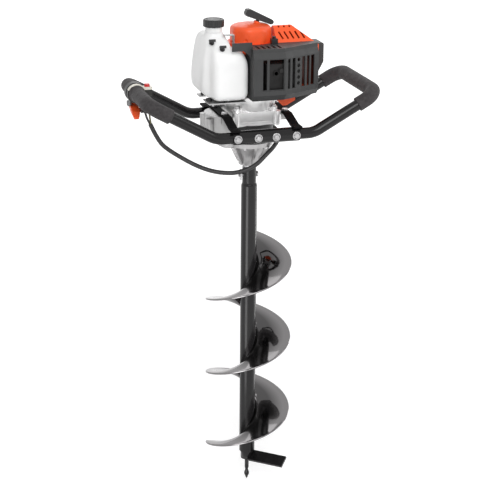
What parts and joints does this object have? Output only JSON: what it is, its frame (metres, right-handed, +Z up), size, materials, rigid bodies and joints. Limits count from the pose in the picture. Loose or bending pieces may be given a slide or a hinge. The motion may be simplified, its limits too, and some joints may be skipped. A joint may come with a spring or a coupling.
{
  "type": "earth auger",
  "caption": "Petrol earth auger for post holes: engine and reduction gearbox on a loop-handled frame, driving a single helical drill bit with a pilot point.",
  "frame": {"origin": "tip of the pilot point, on the drill axis", "axes": "+Z up along the drill axis, X along the handles with the throttle at -X, Y to the back of the machine"},
  "size_m": [0.555, 0.276, 1.1495],
  "materials": {
    "black_paint": "gloss",
    "flight_paint": "satin",
    "cast_alloy": "cast",
    "pale_alloy": "cast",
    "steel": "machined",
    "zinc": "plated",
    "orange": "satin",
    "dark_plastic": "matte",
    "black_plastic": "satin",
    "tank_white": "translucent",
    "foam": "matte",
    "rubber": "matte",
    "ivory": "satin",
    "red": "gloss",
    "rope": "braided",
    "filter": "open foam",
    "ceramic": "glazed",
    "muffler_steel": "heat dulled"
  },
  "bodies": {
    "frame": {"gearbox_lower_case": "cast_alloy", "gearbox_upper_case": "cast_alloy", "gearbox_bearings": "steel", "output_seal": "rubber", "case_bolts": "zinc", "clutch_housing": "pale_alloy", "crankcase": "cast_alloy", "crank_bearings": "steel", "cylinder_block": "cast_alloy", "spark_plug": "ceramic", "plug_cap": "rubber", "head_cover": "dark_plastic", "cylinder_shroud": "orange", "muffler": "muffler_steel", "muffler_guard": "dark_plastic", "starter_housing": "orange", "ignition_coil": "black_plastic", "carburettor": "cast_alloy", "air_filter_element": "filter", "air_filter_cover": "black_plastic", "fuel_tank": "tank_white", "tank_grommets": "rubber", "tank_mounts": "rubber", "tank_bracket": "steel", "left_handle_tube": "black_paint", "right_handle_tube": "black_paint", "left_grip": "foam", "right_grip": "foam", "front_saddle": "black_paint", "rear_saddle": "black_paint", "left_strap": "black_paint", "right_strap": "black_paint", "handle_bolts": "zinc", "strap_bolts": "zinc", "trigger_clamp": "black_plastic", "stop_switch": "ivory", "throttle_cable": "rubber", "switch_wire": "rubber", "cable_sleeve": "rubber"},
    "bit": {"auger_tube": "black_paint", "auger_flight": "flight_paint", "cutter_blade": "black_paint", "pilot_point": "black_paint", "shaft_pin": "zinc", "output_shaft": "steel", "output_gear": "steel"},
    "intermediate": {"intermediate_shaft": "steel", "intermediate_gear": "steel"},
    "drum": {"clutch_drum": "steel"},
    "crank": {"crankshaft": "steel", "flywheel": "pale_alloy", "clutch_shoes": "steel"},
    "trigger": {"throttle_trigger": "orange"},
    "throttle": {"carb_lever": "steel"},
    "choke": {"choke_lever": "black_plastic"},
    "stop": {"stop_button": "red"},
    "cap": {"fuel_cap": "black_plastic"},
    "pull": {"starter_handle": "black_plastic", "starter_rope": "rope"},
    "pulley": {"starter_pulley": "black_plastic"}
  },
  "joints": [
    {"name": "auger_spin", "type": "hinge", "parent": "frame", "child": "bit", "pos_m": [0, 0, 0], "axis": [0, 0, -1], "continuous": true},
    {"name": "intermediate_spin", "type": "hinge", "parent": "frame", "child": "intermediate", "pos_m": [-0.0495, 0, 0], "axis": [0, 0, -1], "continuous": true},
    {"name": "drum_spin", "type": "hinge", "parent": "frame", "child": "drum", "pos_m": [0, 0, 0], "axis": [0, 0, -1], "continuous": true},
    {"name": "crank_spin", "type": "hinge", "parent": "frame", "child": "crank", "pos_m": [0, 0, 0], "axis": [0, 0, -1], "continuous": true},
    {"name": "trigger_squeeze", "type": "hinge", "parent": "frame", "child": "trigger", "pos_m": [-0.257, 0.048, 0.94281], "axis": [-1, 0, 0], "range_deg": [0, 25], "stiffness_Nm_per_rad": 0.4, "springref_deg": -17.19},
    {"name": "throttle_turn", "type": "hinge", "parent": "frame", "child": "throttle", "pos_m": [0.066, 0.082, 1.03], "axis": [0, 0, 1], "range_deg": [0, 30.5]},
    {"name": "choke_turn", "type": "hinge", "parent": "frame", "child": "choke", "pos_m": [0.09, 0.09, 1.013], "axis": [1, 0, 0], "range_deg": [0, 50]},
    {"name": "stop_press", "type": "slide", "parent": "frame", "child": "stop", "axis": [0, 0, -1], "range_m": [0, 0.003], "stiffness_N_per_m": 300, "springref_m": -0.001},
    {"name": "cap_lift", "type": "slide", "parent": "frame", "child": "cap", "axis": [0, 0, 1], "range_m": [0, 0.1]},
    {"name": "starter_pull", "type": "slide", "parent": "frame", "child": "pull", "axis": [0.3987, 0, 0.9171], "range_m": [0, 0.5], "stiffness_N_per_m": 10, "springref_m": -0.2, "deforming": ["starter_rope"]},
    {"name": "pulley_turn", "type": "hinge", "parent": "frame", "child": "pulley", "pos_m": [0, 0, 1.1], "axis": [0, 0, 1], "range_deg": [0, 1220]}
  ],
  "couplings": [
    {"joint": "intermediate_spin", "follows": "auger_spin", "ratio": -4.5},
    {"joint": "drum_spin", "follows": "auger_spin", "ratio": 20.25},
    {"joint": "throttle_turn", "follows": "trigger_squeeze", "ratio": 1.2},
    {"joint": "pulley_turn", "follows": "starter_pull", "rad_per_m": 42.3}
  ]
}
